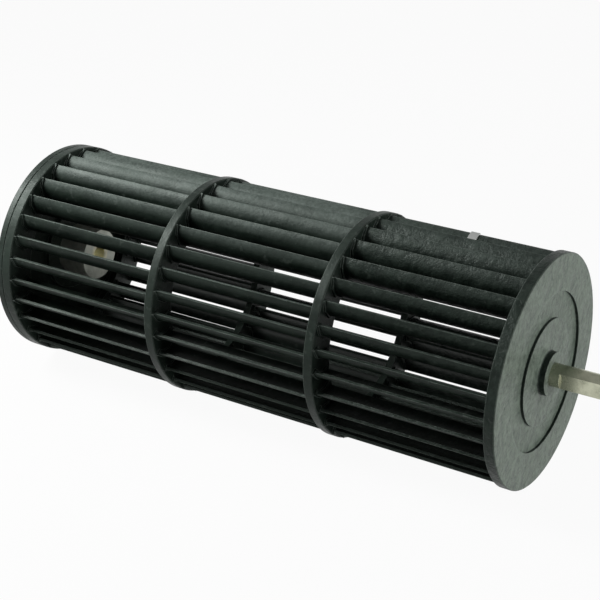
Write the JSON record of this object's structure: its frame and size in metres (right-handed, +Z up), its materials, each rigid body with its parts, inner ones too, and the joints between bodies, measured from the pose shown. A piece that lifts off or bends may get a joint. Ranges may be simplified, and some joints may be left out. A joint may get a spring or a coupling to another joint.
{
  "type": "cross flow fan wheel",
  "caption": "Long black plastic cross flow fan wheel: welded rings of curved blades, a hub with a bored bush at one end and a steel bearing shaft at the other.",
  "frame": {"origin": "on the wheel's axis at the outer face of the motor-end cap, in the mouth of the motor bore", "axes": "+X along the axis from the motor end to the bearing shaft, +Z up as the wheel lies in use"},
  "size_m": [0.2901, 0.1, 0.1],
  "materials": {
    "black_plastic": "satin, glass filled, faint mould mottling",
    "hub_alloy": "turned, dull",
    "bush_brass": "turned",
    "screw_steel": "zinc plated",
    "shaft_steel": "ground, faint yellow plating",
    "clip_steel": "bright folded sheet"
  },
  "bodies": {
    "root": {"motor_end_cap": "black_plastic", "hub": "hub_alloy", "hub_bush": "bush_brass", "set_screw": "screw_steel", "motor_end_ring": "black_plastic", "blade_section_motor_end": "black_plastic", "blade_section_middle": "black_plastic", "blade_section_shaft_end": "black_plastic", "bearing_shaft": "shaft_steel", "balance_clip": "clip_steel"}
  },
  "joints": []
}
